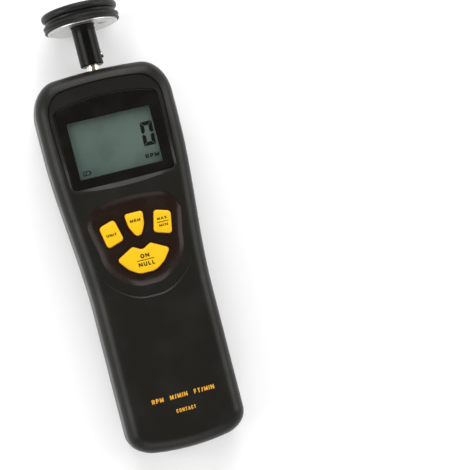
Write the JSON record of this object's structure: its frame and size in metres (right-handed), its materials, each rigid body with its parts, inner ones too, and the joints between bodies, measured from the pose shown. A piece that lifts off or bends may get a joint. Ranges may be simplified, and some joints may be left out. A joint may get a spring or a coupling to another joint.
{
  "type": "contact tachometer",
  "caption": "Hand-held digital tachometer: waisted black case, display window, dished keypad with yellow keys, and a rubber-tyred measuring wheel on a spindle at its end.",
  "frame": {"origin": "centre of the footprint, on the plane that the back lies on", "axes": "+Z out of the face, through the keys; +Y along the body towards the measuring wheel; +X to the right of someone who reads the display"},
  "size_m": [0.0668, 0.2146, 0.0374],
  "materials": {
    "black_moulding": "moulded ABS, matt",
    "dark_window": "smoked acrylic, polished",
    "display_glass": "liquid-crystal cell behind a polariser",
    "yellow_key": "moulded, satin",
    "black_rubber": "nitrile rubber",
    "grey_rubber": "silicone rubber",
    "circuit_board": "epoxy glass with solder mask",
    "chip_resin": "moulded black resin",
    "steel": "plated steel",
    "nickel_plate": "bright nickel plate",
    "turned_aluminium": "turned aluminium",
    "black_sleeve": "blackened steel, satin",
    "battery_jacket": "printed steel jacket",
    "red_insulation": "PVC insulation"
  },
  "bodies": {
    "case": {"front_shell": "black_moulding", "rear_shell": "black_moulding", "display_window": "dark_window", "lcd_frame": "chip_resin", "lcd_glass": "display_glass", "contact_strip_upper": "grey_rubber", "contact_strip_lower": "grey_rubber", "main_board": "circuit_board", "controller_chip": "chip_resin", "crystal": "nickel_plate", "capacitor": "turned_aluminium", "keypad_mat": "grey_rubber", "battery": "battery_jacket", "battery_snap": "chip_resin", "battery_lead_red": "red_insulation", "battery_lead_black": "black_rubber", "front_bearing": "steel", "rear_bearing": "steel", "bearing_block": "turned_aluminium", "optical_sensor": "chip_resin", "case_screw_1": "steel", "case_screw_2": "steel", "case_screw_3": "steel", "case_screw_4": "steel", "block_screw_1": "steel", "block_screw_2": "steel", "board_screw_1": "steel", "board_screw_2": "steel", "board_screw_3": "steel", "board_screw_4": "steel"},
    "wheel_and_spindle": {"spindle": "nickel_plate", "retaining_clip": "steel", "encoder_disc": "chip_resin", "hub_sleeve": "black_sleeve", "wheel_disc": "turned_aluminium", "tyre": "black_rubber", "set_screw": "steel"},
    "unit_key": {"key_unit": "yellow_key"},
    "mem_key": {"key_mem": "yellow_key"},
    "max_min_key": {"key_max_min": "yellow_key"},
    "on_null_key": {"key_on_null": "yellow_key"},
    "door": {"battery_door": "black_moulding"}
  },
  "joints": [
    {"name": "wheel_spin", "type": "hinge", "parent": "case", "child": "wheel_and_spindle", "pos_m": [0, 0.07615, 0.019], "axis": [0, 1, 0], "continuous": true},
    {"name": "unit_key_press", "type": "slide", "parent": "case", "child": "unit_key", "axis": [0, 0, -1], "range_m": [0, 0.0007], "stiffness_N_per_m": 900},
    {"name": "mem_key_press", "type": "slide", "parent": "case", "child": "mem_key", "axis": [0, 0, -1], "range_m": [0, 0.0007], "stiffness_N_per_m": 900},
    {"name": "max_min_key_press", "type": "slide", "parent": "case", "child": "max_min_key", "axis": [0, 0, -1], "range_m": [0, 0.0007], "stiffness_N_per_m": 900},
    {"name": "on_null_key_press", "type": "slide", "parent": "case", "child": "on_null_key", "axis": [0, 0, -1], "range_m": [0, 0.0007], "stiffness_N_per_m": 900},
    {"name": "door_slide", "type": "slide", "parent": "case", "child": "door", "axis": [0, -1, 0], "range_m": [0, 0.052]}
  ]
}
